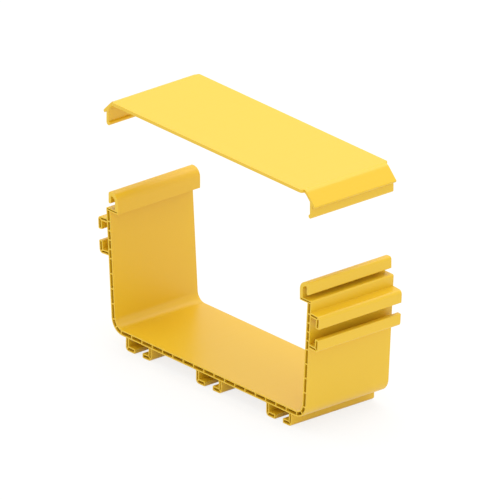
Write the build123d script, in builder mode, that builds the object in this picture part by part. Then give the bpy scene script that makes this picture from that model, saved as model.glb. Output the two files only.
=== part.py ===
from build123d import *

import os
from math import atan2, cos, degrees, radians, sqrt, tan

# A cut length of fibre raceway in extruded rigid PVC: a flared trough with hollow walls, floor and rails,
# and the clip-on lid, shown lifted straight off the trough. X runs across, Y along the raceway, Z up.
# The origin is at the middle of the run, at the level of the rails that the trough stands on.

# Lengths along the raceway
trough_length = 90.0
lid_length = 95.0

# Channel: a flared U with two skins joined by webs
channel_width = 240.0  # between the wall faces, at the floor
channel_height = 102.4  # from the floor to the underside of the shelf
wall_lean = 4.0  # degrees outwards
wall = 5.0  # walls and floor, over both skins
skin = 1.15
web = 1.1
corner_radius = 9.0  # inside the channel

# Cells between the webs
cell_pitch = 13.3  # floor and lower walls
narrow_cell_pitch = 8.25  # upper walls, behind the side rail
narrow_cells = 5
top_cell = 9.0  # cell next below the shelf

# T-slot rails: three under the floor and one on each wall
rail_width = 33.0
rail_depth = 11.4
rail_mouth = 10.0
rail_side = 3.8  # thickness of the two sides
rail_lip = 4.4  # thickness of the two lips beside the mouth
rail_radius = 3.5
rail_lip_radius = 0.8
floor_rail_margin = 13.0  # from the side of an outer floor rail to the wall face, at the floor
side_rail_margin = 7.6  # from the underside of the shelf down to the side rail

# Shelf and hook along the top of each wall
shelf = 2.8
shelf_skin = 0.9
shelf_radius = 1.5
ledge = 3.0  # shelf left free outside the hook, where a lid leg stands
hook_width = 11.9
hook_height = 15.1
hook_web = 3.6
hook_crown = 3.6
hook_lip = 3.0
hook_gap = 4.4  # from the shelf to the end of the hook's lip
hook_radius = 8.0  # over the web
hook_nose_radius = 2.2  # over the lip
hook_throat_radius = 0.6  # inside the nose
hook_lip_radius = 1.2
least_flat = 0.05  # left between two rounded corners

# Lid
lid_sheet = 3.0
bevel_sheet = 2.5
bevel_drop = 12.4  # the bevels fall at 45 degrees
bevel_overhang = 4.2  # bevel's edge beyond the outside of the leg
bevel_edge_radius = 1.0
fold_radius = 8.0
lid_height = 24.1  # over the legs
leg = 2.7
bead_radius = 1.75
flange_setback = 3.0  # bevels and legs are notched away this far from the ends
flange_notch = 1.9  # from the corner of the fold to the notch, inwards
sheet_corner_radius = 2.5
lid_lift = 74.0  # how far the lid stands above its closed place

# Clearances of the closed lid
leg_clearance = 0.5  # between the hook's lip and the leg
seat_clearance = 0.3  # between the shelf and the leg's foot

# Levels and faces that follow from these
floor_under = rail_depth
floor_top = floor_under + wall
shelf_under = floor_top + channel_height
shelf_top = shelf_under + shelf
lean = radians(wall_lean)


def wall_face(depth, level):
    """X of the layer that lies depth outside the inner face of the right wall, at a level."""
    return channel_width / 2 + (level - floor_top) * tan(lean) + depth / cos(lean)


def flared_form(depth, top):
    """Solid section of the U, depth outside the channel's own faces, with its corners about one centre."""
    bottom = floor_top - depth
    with BuildSketch() as form:
        with BuildLine():
            Polyline(
                (-wall_face(depth, top), top),
                (-wall_face(depth, bottom), bottom),
                (wall_face(depth, bottom), bottom),
                (wall_face(depth, top), top),
                close=True,
            )
        make_face()
        fillet(form.vertices().group_by(Axis.Y)[0], corner_radius + depth)
    return form.sketch


shelf_outer = wall_face(wall, shelf_top)
hook_outer = shelf_outer - ledge
hook_inner = hook_outer - hook_width

# One T-slot rail, with its root on the X axis and its mouth towards +Y
rail_slot = rail_width - 2 * rail_side
with BuildSketch() as rail:
    Rectangle(rail_width, rail_depth, align=(Align.CENTER, Align.MIN))
    fillet(rail.vertices().group_by(Axis.Y)[-1], rail_radius)
    Rectangle(rail_slot, rail_depth - rail_lip, align=(Align.CENTER, Align.MIN), mode=Mode.SUBTRACT)
    Rectangle(rail_mouth, rail_depth, align=(Align.CENTER, Align.MIN), mode=Mode.SUBTRACT)
    mouth_corners = rail.vertices().filter_by_position(Axis.X, -rail_mouth / 2, rail_mouth / 2)
    fillet(mouth_corners, rail_lip_radius)

# Hollow cells of that rail: one in each side and one in each lip, parted by a mitre web
mitre_angle = degrees(atan2(rail_lip, rail_side))
mitre_places = [
    Location(
        (side * (rail_width - rail_side) / 2, rail_depth - rail_lip / 2),
        (0, 0, side * mitre_angle),
    )
    for side in (-1, 1)
]
with BuildSketch() as rail_cells:
    Rectangle(rail_width - 2 * skin, rail_depth - skin, align=(Align.CENTER, Align.MIN))
    fillet(rail_cells.vertices().group_by(Axis.Y)[-1], rail_radius - skin)
    Rectangle(
        rail_slot + 2 * skin,
        rail_depth - rail_lip + skin,
        align=(Align.CENTER, Align.MIN),
        mode=Mode.SUBTRACT,
    )
    Rectangle(rail_mouth + 2 * skin, rail_depth, align=(Align.CENTER, Align.MIN), mode=Mode.SUBTRACT)
    with Locations(*mitre_places):
        Rectangle(rail_side + rail_lip, web, mode=Mode.SUBTRACT)

side_rail_level = shelf_under - side_rail_margin - rail_width / 2
floor_rail_spacing = (channel_width - rail_width) / 2 - floor_rail_margin
floor_rail_places = [
    Location((step * floor_rail_spacing, floor_under), (0, 0, 180)) for step in (-1, 0, 1)
]
side_rail_places = [
    Location((side * wall_face(wall, side_rail_level), side_rail_level), (0, 0, -side * (90 + wall_lean)))
    for side in (-1, 1)
]
rail_places = floor_rail_places + side_rail_places

# Right-hand hook: a web up from the shelf, a crown, and a lip that turns down outside
hook_throat = hook_width - hook_web - hook_lip
bend_radius = min(hook_radius, hook_width - hook_nose_radius - least_flat)
throat_bend_radius = min(bend_radius - hook_web, hook_throat - hook_throat_radius - least_flat)
with BuildSketch() as hook_opening:
    with Locations((hook_outer - hook_lip - hook_throat / 2, shelf_top)):
        Rectangle(hook_throat, hook_height - hook_crown, align=(Align.CENTER, Align.MIN))
    fillet(hook_opening.vertices().group_by(Axis.Y)[-1].sort_by(Axis.X)[0], throat_bend_radius)
    fillet(hook_opening.vertices().group_by(Axis.Y)[-1].sort_by(Axis.X)[-1], hook_throat_radius)
with BuildSketch() as hook:
    with Locations((hook_outer - hook_width / 2, shelf_top)):
        Rectangle(hook_width, hook_height, align=(Align.CENTER, Align.MIN))
    fillet(hook.vertices().group_by(Axis.Y)[-1].sort_by(Axis.X)[0], bend_radius)
    fillet(hook.vertices().group_by(Axis.Y)[-1].sort_by(Axis.X)[-1], hook_nose_radius)
    add(hook_opening.sketch, mode=Mode.SUBTRACT)
    with Locations((hook_outer - hook_lip / 2, shelf_top)):
        Rectangle(hook_lip, hook_gap, align=(Align.CENTER, Align.MIN), mode=Mode.SUBTRACT)
    fillet(hook.vertices().group_by(Axis.Y)[1], hook_lip_radius)

# Webs between the two skins: across the floor, up the walls from the shelf down, and one in each corner
half_floor_webs = int((channel_width - corner_radius) / 2 / cell_pitch + 0.5)
top_web_level = shelf_under - top_cell - web / 2
wall_web_levels = [top_web_level - i * narrow_cell_pitch for i in range(narrow_cells)]
while wall_web_levels[-1] - cell_pitch > floor_top + corner_radius / 2:
    wall_web_levels.append(wall_web_levels[-1] - cell_pitch)
wall_web_places = [
    Location((wall_face(wall / 2, level), level), (0, 0, -wall_lean)) for level in wall_web_levels
]
corner_centre = (wall_face(-corner_radius, floor_top + corner_radius), floor_top + corner_radius)
corner_angle = -(90 + wall_lean) / 2
with BuildSketch() as webs:
    with Locations((0, floor_under + wall / 2)):
        with GridLocations(cell_pitch, wall, 2 * half_floor_webs, 1):
            Rectangle(web, wall)
    with Locations(*wall_web_places):
        Rectangle(wall, web)
    with Locations(corner_centre):
        with PolarLocations(corner_radius + wall / 2, 1, start_angle=corner_angle):
            Rectangle(wall, web)
    mirror(about=Plane.YZ)

# Cells of the floor and walls: the space between the skins, less the webs
with BuildSketch() as wall_cells:
    add(flared_form(wall - skin, shelf_under))
    add(flared_form(skin, shelf_under), mode=Mode.SUBTRACT)
    add(webs.sketch, mode=Mode.SUBTRACT)

# Flat cell inside each shelf
shelf_cell_width = shelf_outer - hook_inner - 2 * skin
with BuildSketch() as shelf_cells:
    with Locations((hook_inner + skin + shelf_cell_width / 2, shelf_under + shelf / 2)):
        Rectangle(shelf_cell_width, shelf - 2 * shelf_skin)
    mirror(about=Plane.YZ)

# Trough: one extrusion of the whole section
with BuildPart() as trough:
    with BuildSketch(Plane.XZ) as section:
        add(flared_form(wall, shelf_top))
        fillet(section.vertices().group_by(Axis.Y)[-1], shelf_radius)
        add(flared_form(0, shelf_under), mode=Mode.SUBTRACT)
        with Locations((0, shelf_under)):
            Rectangle(2 * hook_inner, shelf, align=(Align.CENTER, Align.MIN), mode=Mode.SUBTRACT)
        add(hook.sketch)
        mirror(hook.sketch, about=Plane.YZ)
        with Locations(*rail_places):
            add(rail.sketch)
            add(rail_cells.sketch, mode=Mode.SUBTRACT)
        add(wall_cells.sketch, mode=Mode.SUBTRACT)
        add(shelf_cells.sketch, mode=Mode.SUBTRACT)
    extrude(amount=trough_length / 2, both=True)

# Lid section: a flat sheet, a bevel down each side, and a leg under the bevel with a bead that snaps
# below the hook's lip
leg_inner = hook_outer + leg_clearance
leg_outer = leg_inner + leg
foot_level = shelf_top + seat_clearance + lid_lift
lid_top = foot_level + lid_height
bevel_edge = leg_outer + bevel_overhang
fold = bevel_edge - bevel_drop
bevel_step = bevel_sheet / sqrt(2)
inner_fold = fold + lid_sheet - bevel_sheet * sqrt(2)


def bevel_under(x):
    """Level of the underside of the right-hand bevel at x."""
    return lid_top - (x - fold) - bevel_sheet * sqrt(2)


with BuildSketch() as half_lid:
    with BuildLine():
        Polyline(
            (0, lid_top),
            (fold, lid_top),
            (bevel_edge, lid_top - bevel_drop),
            (bevel_edge - bevel_step, lid_top - bevel_drop - bevel_step),
            (leg_outer, bevel_under(leg_outer)),
            (leg_outer, foot_level),
            (leg_inner, foot_level),
            (leg_inner, bevel_under(leg_inner)),
            (inner_fold, lid_top - lid_sheet),
            (0, lid_top - lid_sheet),
            close=True,
        )
    make_face()
    fillet(half_lid.vertices().sort_by_distance((fold, lid_top))[0], fold_radius)
    inner_corner = half_lid.vertices().sort_by_distance((inner_fold, lid_top - lid_sheet))[0]
    fillet(inner_corner, fold_radius - bevel_sheet)
    fillet(half_lid.vertices().group_by(Axis.X)[-1], bevel_edge_radius)
    fillet(half_lid.vertices().sort_by_distance((leg_outer, foot_level))[0], leg - least_flat)
    with Locations((leg_inner, foot_level + bead_radius)):
        Circle(bead_radius)

# Lid: one extrusion of its section, with the bevels and legs notched away at the corners
flange_length = lid_length - 2 * flange_setback
sheet_width = 2 * (fold - flange_notch)
with BuildPart() as lid:
    with BuildSketch(Plane.XZ):
        add(half_lid.sketch)
        mirror(half_lid.sketch, about=Plane.YZ)
    extrude(amount=lid_length / 2, both=True)
    with BuildSketch(Plane.XY.offset(foot_level)):
        Rectangle(2 * bevel_edge, flange_length)
        RectangleRounded(sheet_width, lid_length, sheet_corner_radius)
    extrude(amount=lid_height, mode=Mode.INTERSECT)

os.makedirs("parts", exist_ok=True)
trough.part.label = "trough"
export_step(trough.part, "parts/trough.step")
lid.part.label = "lid"
export_step(lid.part, "parts/lid.step")
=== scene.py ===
"""Looks for a short length of yellow fibre raceway, with its lid lifted straight off the trough.

Both pieces are cut lengths of extruded rigid PVC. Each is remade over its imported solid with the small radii
that a die and a deburring knife leave, and finished as extruded skin, sawn ends and eased edges, in a plain
white studio.
"""

import logging
import math
from dataclasses import dataclass
from enum import Enum
from typing import Any

import bpy
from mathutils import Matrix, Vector

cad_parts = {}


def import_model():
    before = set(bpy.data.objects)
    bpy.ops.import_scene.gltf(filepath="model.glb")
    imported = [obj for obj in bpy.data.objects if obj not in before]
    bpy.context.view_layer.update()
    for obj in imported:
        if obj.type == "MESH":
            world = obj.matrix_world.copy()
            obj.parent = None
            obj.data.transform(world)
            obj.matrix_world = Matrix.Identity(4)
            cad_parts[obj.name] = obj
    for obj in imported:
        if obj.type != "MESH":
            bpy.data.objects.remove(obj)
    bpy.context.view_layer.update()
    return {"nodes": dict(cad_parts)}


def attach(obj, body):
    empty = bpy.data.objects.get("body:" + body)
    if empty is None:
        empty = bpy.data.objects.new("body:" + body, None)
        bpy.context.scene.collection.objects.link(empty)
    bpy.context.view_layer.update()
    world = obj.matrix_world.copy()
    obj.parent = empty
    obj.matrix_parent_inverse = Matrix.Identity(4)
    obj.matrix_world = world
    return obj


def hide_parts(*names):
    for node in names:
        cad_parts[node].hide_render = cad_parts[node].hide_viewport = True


MM = 0.001
LOG = logging.getLogger("raceway")


class Surface(Enum):
    """Kinds of surface on a cut length of extrusion, by the order of their material slots."""

    EXTRUDED = 0
    SAWN = 1
    EASED = 2


def linear(code: str) -> tuple[float, float, float, float]:
    """Turns an sRGB hex colour into the linear colour that a shader takes.

    Args:
        code: Colour such as "#F7BF22".

    Returns:
        Red, green, blue and an alpha of 1.
    """
    parts = [int(code[i:i + 2], 16) / 255 for i in (1, 3, 5)]
    red, green, blue = (c / 12.92 if c <= 0.04045 else ((c + 0.055) / 1.055) ** 2.4 for c in parts)
    return red, green, blue, 1.0


def add_node(
    tree: bpy.types.NodeTree,
    kind: str,
    settings: dict[str, Any] | None = None,
    inputs: dict[str | int, Any] | None = None,
) -> bpy.types.Node:
    """Adds a node, sets its options, and fills or links its inputs.

    Args:
        tree: Node tree that takes the node.
        kind: Blender's name for the type of node.
        settings: Options of the node, by attribute.
        inputs: Values, or the sockets to link from, by input name or number.

    Returns:
        The new node.
    """
    node = tree.nodes.new(kind)
    for name, value in (settings or {}).items():
        setattr(node, name, value)
    for key, value in (inputs or {}).items():
        if isinstance(value, bpy.types.NodeSocket):
            tree.links.new(value, node.inputs[key])
        else:
            node.inputs[key].default_value = value
    return node


def new_material(name: str) -> tuple[bpy.types.Material, bpy.types.NodeTree]:
    """Makes an empty node material.

    Args:
        name: Name of the material.

    Returns:
        The material and its node tree, with no nodes in it.
    """
    material = bpy.data.materials.new(name)
    material.use_nodes = True
    material.node_tree.nodes.clear()
    return material, material.node_tree


@dataclass(frozen=True)
class ExtrudedSkin:
    """Rigid PVC as it leaves the die: an even satin yellow with faint lines drawn along the run.

    The die's land polishes the skin, so it mirrors its surroundings softly. Real die lines lie a few tenths
    of a millimetre apart; they are drawn coarser here so that they show.
    """

    name: str = "extruded_pvc_skin"
    colour: str = "#E4BA21"
    roughness: float = 0.38
    roughness_spread: float = 0.05
    ior: float = 1.53
    line_spacing: float = 1.4 * MM
    line_length: float = 160 * MM
    line_depth: float = 0.006 * MM

    def material(self) -> bpy.types.Material:
        """Builds the material of the drawn skin.

        Returns:
            The material, with its lines along Y.
        """
        material, tree = new_material(self.name)
        across = 1 / self.line_spacing
        drawn = add_node(tree, "ShaderNodeMapping", inputs={
            "Vector": add_node(tree, "ShaderNodeTexCoord").outputs["Object"],
            "Scale": (across, 1 / self.line_length, across),
        })
        lines = add_node(tree, "ShaderNodeTexNoise", inputs={
            "Vector": drawn.outputs["Vector"],
            "Scale": 1.0,
        })
        rough = add_node(tree, "ShaderNodeMapRange", inputs={
            "Value": lines.outputs["Fac"],
            "To Min": self.roughness - self.roughness_spread,
            "To Max": self.roughness + self.roughness_spread,
        })
        bump = add_node(tree, "ShaderNodeBump", inputs={
            "Height": lines.outputs["Fac"],
            "Distance": self.line_depth,
        })
        shader = add_node(tree, "ShaderNodeBsdfPrincipled", inputs={
            "Base Color": linear(self.colour),
            "Roughness": rough.outputs["Result"],
            "IOR": self.ior,
            "Normal": bump.outputs["Normal"],
        })
        add_node(tree, "ShaderNodeOutputMaterial", inputs={"Surface": shader.outputs["BSDF"]})
        return material


@dataclass(frozen=True)
class SawnEnd:
    """The same PVC across a saw cut: the same yellow, but matt, with faint arcs left by the blade.

    The teeth mark the cut every few tenths of a millimetre; the arcs are drawn coarser here so that they
    show.
    """

    name: str = "sawn_pvc_end"
    colour: str = "#E3BB29"
    roughness: float = 0.52
    ior: float = 1.53
    mark_spacing: float = 1.1 * MM
    mark_depth: float = 0.01 * MM
    blade_centre: tuple[float, float] = (60 * MM, -170 * MM)
    waver: float = 2.0

    def material(self) -> bpy.types.Material:
        """Builds the material of the cut ends.

        Returns:
            The material, with its arcs across Y.
        """
        material, tree = new_material(self.name)
        x, z = self.blade_centre
        # At scale 1 the rings of a wave texture lie pi / 10 apart.
        rings = math.pi / 10 / self.mark_spacing
        arcs = add_node(tree, "ShaderNodeMapping", inputs={
            "Vector": add_node(tree, "ShaderNodeTexCoord").outputs["Object"],
            "Location": (-x, 0.0, -z),
        })
        marks = add_node(tree, "ShaderNodeTexWave", {"wave_type": "RINGS", "rings_direction": "Y"}, {
            "Vector": arcs.outputs["Vector"],
            "Scale": rings,
            "Distortion": self.waver,
        })
        bump = add_node(tree, "ShaderNodeBump", inputs={
            "Height": marks.outputs["Fac"],
            "Distance": self.mark_depth,
        })
        shader = add_node(tree, "ShaderNodeBsdfPrincipled", inputs={
            "Base Color": linear(self.colour),
            "Roughness": self.roughness,
            "IOR": self.ior,
            "Normal": bump.outputs["Normal"],
        })
        add_node(tree, "ShaderNodeOutputMaterial", inputs={"Surface": shader.outputs["BSDF"]})
        return material


@dataclass(frozen=True)
class EasedEdge:
    """The narrow round along a corner, smoother than the skin beside it and paler, partly from rubbed wear
    and partly as a painted highlight.
    """

    name: str = "eased_pvc_edge"
    # Paler than the skin: partly rubbed wear, partly a painted highlight along the corner.
    colour: str = "#E9C22F"
    roughness: float = 0.34
    ior: float = 1.53

    def material(self) -> bpy.types.Material:
        """Builds the material of the corners.

        Returns:
            The material, even all over.
        """
        material, tree = new_material(self.name)
        shader = add_node(tree, "ShaderNodeBsdfPrincipled", inputs={
            "Base Color": linear(self.colour),
            "Roughness": self.roughness,
            "IOR": self.ior,
        })
        add_node(tree, "ShaderNodeOutputMaterial", inputs={"Surface": shader.outputs["BSDF"]})
        return material


@dataclass
class Extrusion:
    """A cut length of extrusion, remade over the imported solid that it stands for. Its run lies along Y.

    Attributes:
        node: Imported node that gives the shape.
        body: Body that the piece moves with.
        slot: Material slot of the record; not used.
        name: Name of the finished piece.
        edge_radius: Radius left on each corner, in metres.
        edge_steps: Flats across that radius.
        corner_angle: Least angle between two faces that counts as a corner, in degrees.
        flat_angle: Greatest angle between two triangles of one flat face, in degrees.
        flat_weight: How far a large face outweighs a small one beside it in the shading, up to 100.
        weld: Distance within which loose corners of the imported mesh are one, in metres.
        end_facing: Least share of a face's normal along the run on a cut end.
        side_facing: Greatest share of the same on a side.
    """

    node: str
    body: str
    slot: str
    name: str
    edge_radius: float = 0.15 * MM
    edge_steps: int = 2
    corner_angle: float = 28.0
    flat_angle: float = 0.4
    flat_weight: int = 100
    weld: float = 0.002 * MM
    end_facing: float = 0.99
    side_facing: float = 0.05

    def build(
        self,
        source: bpy.types.Object,
        finishes: dict[Surface, bpy.types.Material],
    ) -> bpy.types.Object:
        """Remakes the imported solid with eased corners, finishes it and seats it in the frame.

        Args:
            source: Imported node, which stays as it is.
            finishes: Material of each kind of surface.

        Returns:
            The new piece, with no modifiers left on it.
        """
        piece = self.copy_solid(source)
        piece.data.materials.clear()
        for surface in Surface:
            piece.data.materials.append(finishes[surface])
        self.shape(piece)
        self.smooth(piece)
        self.mark_surfaces(piece)
        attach(piece, self.body)
        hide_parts(self.node)
        return piece

    def copy_solid(self, source: bpy.types.Object) -> bpy.types.Object:
        """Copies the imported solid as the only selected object, and welds its loose triangles.

        Args:
            source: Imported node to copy.

        Returns:
            The copy, which is the active object.
        """
        piece = bpy.data.objects.new(self.name, source.data.copy())
        bpy.context.scene.collection.objects.link(piece)
        bpy.ops.object.select_all(action="DESELECT")
        piece.select_set(True)
        bpy.context.view_layer.objects.active = piece
        bpy.ops.object.mode_set(mode="EDIT")
        bpy.ops.mesh.select_all(action="SELECT")
        bpy.ops.mesh.customdata_custom_splitnormals_clear()
        bpy.ops.mesh.remove_doubles(threshold=self.weld)
        bpy.ops.object.mode_set(mode="OBJECT")
        return piece

    def shape(self, piece: bpy.types.Object) -> None:
        """Joins the flat faces of the welded copy, and rounds its corners."""
        self.join_flats()
        self.ease_corners(piece)

    def join_flats(self) -> None:
        """Joins the triangles of each flat face of the active piece."""
        bpy.ops.object.mode_set(mode="EDIT")
        bpy.ops.mesh.select_all(action="SELECT")
        bpy.ops.mesh.dissolve_limited(angle_limit=math.radians(self.flat_angle))
        bpy.ops.object.mode_set(mode="OBJECT")

    def ease_corners(self, piece: bpy.types.Object) -> None:
        """Rounds the corners between faces, apart from those that stay sharp, and marks the rounds as eased.

        Args:
            piece: Active piece, with its flat faces joined.
        """
        bpy.ops.object.mode_set(mode="EDIT")
        bpy.ops.mesh.select_mode(type="EDGE")
        bpy.ops.mesh.select_all(action="DESELECT")
        bpy.ops.mesh.edges_select_sharp(sharpness=math.radians(self.corner_angle))
        bpy.ops.object.mode_set(mode="OBJECT")
        self.leave_sharp(piece)
        # A face that is still selected would take its edges back into the selection.
        for face in piece.data.polygons:
            face.select = False
        bpy.ops.object.mode_set(mode="EDIT")
        bpy.ops.mesh.bevel(
            offset=self.edge_radius,
            segments=self.edge_steps,
            affect="EDGES",
            clamp_overlap=False,
            material=Surface.EASED.value,
        )
        bpy.ops.mesh.select_all(action="SELECT")
        bpy.ops.mesh.remove_doubles(threshold=self.weld)
        bpy.ops.object.mode_set(mode="OBJECT")

    def leave_sharp(self, piece: bpy.types.Object) -> None:
        """Deselects the edges that stay sharp, which each kind of extrusion names itself."""
        raise NotImplementedError

    def smooth(self, piece: bpy.types.Object) -> None:
        """Smooths the rounds and keeps the flat faces flat.

        Args:
            piece: Active piece, with its corners rounded.
        """
        bpy.ops.object.shade_smooth_by_angle(angle=math.radians(self.corner_angle))
        flats = piece.modifiers.new("flat faces stay flat", "WEIGHTED_NORMAL")
        flats.mode = "FACE_AREA"
        flats.weight = self.flat_weight
        flats.keep_sharp = True
        bpy.ops.object.modifier_apply(modifier=flats.name)

    def mark_surfaces(self, piece: bpy.types.Object) -> None:
        """Tells the sawn ends and the rounds beside them from the skin.

        Args:
            piece: Piece with a material for each kind of surface.
        """
        for face in piece.data.polygons:
            along = abs(face.normal.y)
            if along > self.end_facing:
                face.material_index = Surface.SAWN.value
            elif along > self.side_facing:
                face.material_index = Surface.EASED.value


@dataclass
class Trough(Extrusion):
    """The flared trough with its hollow walls, T-slot rails and hooked rims.

    Its ends have a hole for every cell, so they are opened first, and closed again behind a rounded rim.
    """

    node: str = "trough"
    body: str = "trough"
    slot: str = "trough_pvc"
    name: str = "raceway_trough"

    def shape(self, piece: bpy.types.Object) -> None:
        """Rounds the corners along the run, then the rim of each end.

        Args:
            piece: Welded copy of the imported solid.
        """
        self.open_ends(piece)
        super().shape(piece)
        self.close_ends(piece)

    def open_ends(self, piece: bpy.types.Object) -> None:
        """Takes the cut faces off, so that only the sides are left.

        Args:
            piece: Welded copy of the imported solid.
        """
        bpy.ops.object.mode_set(mode="EDIT")
        bpy.ops.mesh.select_mode(type="FACE")
        bpy.ops.mesh.select_all(action="DESELECT")
        bpy.ops.object.mode_set(mode="OBJECT")
        for face in piece.data.polygons:
            face.select = abs(face.normal.y) > self.end_facing
        bpy.ops.object.mode_set(mode="EDIT")
        bpy.ops.mesh.delete(type="FACE")
        bpy.ops.object.mode_set(mode="OBJECT")

    def leave_sharp(self, piece: bpy.types.Object) -> None:
        """Deselects the edges of the open ends, which get their rim later.

        Args:
            piece: Active piece, with its corners selected.
        """
        along = [vertex.co.y for vertex in piece.data.vertices]
        for edge in piece.data.edges:
            start, stop = (along[corner] for corner in edge.vertices)
            edge.select = edge.select and abs(start - stop) > self.weld

    def close_ends(self, piece: bpy.types.Object) -> None:
        """Turns a round rim inwards round every loop of each end, and fills the section between the loops.

        Args:
            piece: Active piece, with open ends.
        """
        half_run = max(vertex.co.y for vertex in piece.data.vertices)
        for end in (-1, 1):
            bpy.ops.object.mode_set(mode="EDIT")
            bpy.ops.mesh.select_mode(type="EDGE")
            bpy.ops.mesh.select_all(action="DESELECT")
            bpy.ops.object.mode_set(mode="OBJECT")
            along = [end * vertex.co.y for vertex in piece.data.vertices]
            for edge in piece.data.edges:
                edge.select = all(along[corner] > half_run - self.weld for corner in edge.vertices)
            bpy.ops.object.mode_set(mode="EDIT")
            bpy.ops.transform.translate(value=(0, -end * self.edge_radius, 0))
            turns = [math.pi / 2 * step / self.edge_steps for step in range(self.edge_steps + 1)]
            for before, after in zip(turns, turns[1:]):
                rise = self.edge_radius * (math.sin(after) - math.sin(before))
                inset = self.edge_radius * (math.cos(before) - math.cos(after))
                bpy.ops.mesh.extrude_region_move(TRANSFORM_OT_translate={"value": (0, end * rise, 0)})
                bpy.ops.transform.shrink_fatten(value=-inset, use_even_offset=True)
            bpy.ops.mesh.fill(use_beauty=True)
            bpy.ops.mesh.select_all(action="SELECT")
            bpy.ops.mesh.normals_make_consistent(inside=False)
            bpy.ops.object.mode_set(mode="OBJECT")


@dataclass
class Lid(Extrusion):
    """The lid with its bevels, legs and beads, and a notch at each corner that cuts the bevel short.

    Attributes:
        end_margin: From the bottom of a notch to a cut across the mesh, which keeps the fine facets of the
            notch out of the long strips, in metres.
        flat_margin: Greatest distance from the sheet's faces of an edge that lies on them, in metres.
    """

    node: str = "lid"
    body: str = "lid"
    slot: str = "lid_pvc"
    name: str = "raceway_lid"
    end_margin: float = 1.0 * MM
    flat_margin: float = 0.001 * MM

    def shape(self, piece: bpy.types.Object) -> None:
        """Rounds the corners, then parts the ends from the long strips between them.

        Args:
            piece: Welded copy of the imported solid.
        """
        super().shape(piece)
        cut = self.notch_bottom(piece) - self.end_margin
        bpy.ops.object.mode_set(mode="EDIT")
        for end in (-1, 1):
            bpy.ops.mesh.select_all(action="SELECT")
            bpy.ops.mesh.bisect(plane_co=(0, end * cut, 0), plane_no=(0, 1, 0))
        bpy.ops.object.mode_set(mode="OBJECT")

    def notch_bottom(self, piece: bpy.types.Object) -> float:
        """Finds how far from the middle of the run the bevels end."""
        widest = max(vertex.co.x for vertex in piece.data.vertices)
        return max(vertex.co.y for vertex in piece.data.vertices if vertex.co.x > widest - self.weld)

    def leave_sharp(self, piece: bpy.types.Object) -> None:
        """Deselects the edges that the notching leaves, apart from those on the flat sheet.

        Args:
            piece: Active piece, with its corners selected.
        """
        vertices = piece.data.vertices
        half_run = max(vertex.co.y for vertex in vertices)
        end_levels = [vertex.co.z for vertex in vertices if vertex.co.y > half_run - self.weld]
        sheet_faces = (min(end_levels), max(end_levels))
        notch_bottom = self.notch_bottom(piece)
        for edge in piece.data.edges:
            start, stop = (vertices[corner].co for corner in edge.vertices)
            at_end = abs(start.y + stop.y) / 2 > notch_bottom - self.weld
            on_sheet = any(max(abs(start.z - z), abs(stop.z - z)) < self.flat_margin for z in sheet_faces)
            edge.select = edge.select and (on_sheet or not at_end)


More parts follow.
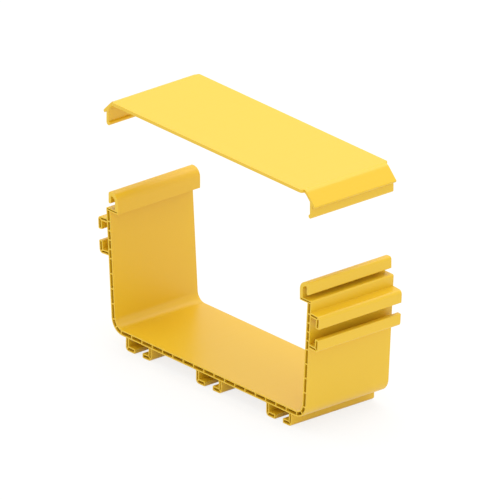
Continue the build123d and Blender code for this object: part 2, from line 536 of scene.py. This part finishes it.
@dataclass
class Studio:
    """White floor and surroundings, one wide lamp overhead, and a camera that sees with no perspective.

    Angles are in degrees, lengths in metres and the lamp's power in watts.

    Attributes:
        view_level: Height that the camera and the lamp are aimed at.
        floor_drop: Gap that keeps the floor clear of the rails.
        floor_glow: Share of the floor that stays plain white, which keeps the shadows on it faint.
        ambient: Strength of the light from the surroundings.
    """

    azimuth: float = 49.8
    elevation: float = 23.05
    view_width: float = 416.4 * MM
    view_level: float = 113.0 * MM
    camera_distance: float = 1.2
    floor_size: float = 6.0
    floor_drop: float = 0.05 * MM
    floor_colour: str = "#F9F9F8"
    floor_glow: float = 0.8
    surround_colour: str = "#FFFFFF"
    ambient: float = 1.0
    lamp_power: float = 13.0
    lamp_size: float = 1.4
    lamp_place: tuple[float, float, float] = (-0.1, 0.35, 1.6)

    def build(self) -> None:
        """Makes the floor, the surroundings, the lamp and the camera."""
        self.lay_floor()
        self.light_surroundings()
        self.hang_lamp()
        self.set_camera()

    @staticmethod
    def seen_directly(tree: bpy.types.NodeTree) -> bpy.types.NodeSocket:
        """Tells rays that show the background from those that light the object.

        Args:
            tree: Node tree of the floor or the surroundings.

        Returns:
            Socket that is 1 for camera, glossy and transmitted rays.
        """
        path = add_node(tree, "ShaderNodeLightPath")
        mirrored = add_node(tree, "ShaderNodeMath", {"operation": "MAXIMUM"}, {
            0: path.outputs["Is Glossy Ray"],
            1: path.outputs["Is Transmission Ray"],
        })
        seen = add_node(tree, "ShaderNodeMath", {"operation": "MAXIMUM"}, {
            0: path.outputs["Is Camera Ray"],
            1: mirrored.outputs["Value"],
        })
        return seen.outputs["Value"]

    def lay_floor(self) -> None:
        """Lays a matt white floor that shows near white and keeps the object's shadow."""
        bpy.ops.object.select_all(action="DESELECT")
        bpy.ops.mesh.primitive_plane_add(size=self.floor_size, location=(0, 0, -self.floor_drop))
        floor = bpy.context.active_object
        floor.name = "studio_floor"
        material, tree = new_material("matt_white_floor")
        matt = add_node(tree, "ShaderNodeBsdfDiffuse", inputs={"Color": linear(self.floor_colour)})
        glow = add_node(tree, "ShaderNodeEmission")
        share = add_node(tree, "ShaderNodeMath", {"operation": "MULTIPLY"}, {
            0: self.seen_directly(tree),
            1: self.floor_glow,
        })
        mixed = add_node(tree, "ShaderNodeMixShader", inputs={
            "Fac": share.outputs["Value"],
            1: matt.outputs["BSDF"],
            2: glow.outputs["Emission"],
        })
        add_node(tree, "ShaderNodeOutputMaterial", inputs={"Surface": mixed.outputs["Shader"]})
        floor.data.materials.append(material)

    def light_surroundings(self) -> None:
        """Sets even white surroundings, which light the object and show as its background."""
        world = bpy.data.worlds.new("white_surroundings")
        world.use_nodes = True
        tree = world.node_tree
        tree.nodes.clear()
        white = add_node(tree, "ShaderNodeBackground", inputs={
            "Color": linear(self.surround_colour),
            "Strength": self.ambient,
        })
        add_node(tree, "ShaderNodeOutputWorld", inputs={"Surface": white.outputs["Background"]})
        bpy.context.scene.world = world

    def hang_lamp(self) -> None:
        """Hangs one wide soft lamp overhead, a little behind and to the left."""
        light = bpy.data.lights.new("overhead_softbox", "AREA")
        light.shape = "SQUARE"
        light.size = self.lamp_size
        light.energy = self.lamp_power
        lamp = bpy.data.objects.new("overhead_softbox", light)
        lamp.location = self.lamp_place
        aim = Vector((0, 0, self.view_level)) - lamp.location
        lamp.rotation_euler = aim.to_track_quat("-Z", "Y").to_euler()
        bpy.context.scene.collection.objects.link(lamp)

    def set_camera(self) -> None:
        """Sets a parallel camera at the photograph's angle."""
        turn = math.radians(self.azimuth)
        rise = math.radians(self.elevation)
        towards = Vector((math.sin(turn) * math.cos(rise), -math.cos(turn) * math.cos(rise), math.sin(rise)))
        data = bpy.data.cameras.new("parallel_camera")
        data.type = "ORTHO"
        data.ortho_scale = self.view_width
        camera = bpy.data.objects.new("parallel_camera", data)
        camera.location = Vector((0, 0, self.view_level)) + self.camera_distance * towards
        camera.rotation_euler = (-towards).to_track_quat("-Z", "Y").to_euler()
        bpy.context.scene.collection.objects.link(camera)
        bpy.context.scene.camera = camera


def main() -> None:
    """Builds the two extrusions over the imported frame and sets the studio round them."""
    logging.basicConfig(level=logging.INFO, format="%(name)s: %(message)s")
    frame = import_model()
    bpy.context.scene.view_settings.view_transform = "Standard"
    finishes = {
        Surface.EXTRUDED: ExtrudedSkin().material(),
        Surface.SAWN: SawnEnd().material(),
        Surface.EASED: EasedEdge().material(),
    }
    for extrusion in (Trough(), Lid()):
        piece = extrusion.build(frame["nodes"][extrusion.node], finishes)
        LOG.info("%s: %d faces on body %s", piece.name, len(piece.data.polygons), extrusion.body)
    Studio().build()


if __name__ == "__main__":
    main()
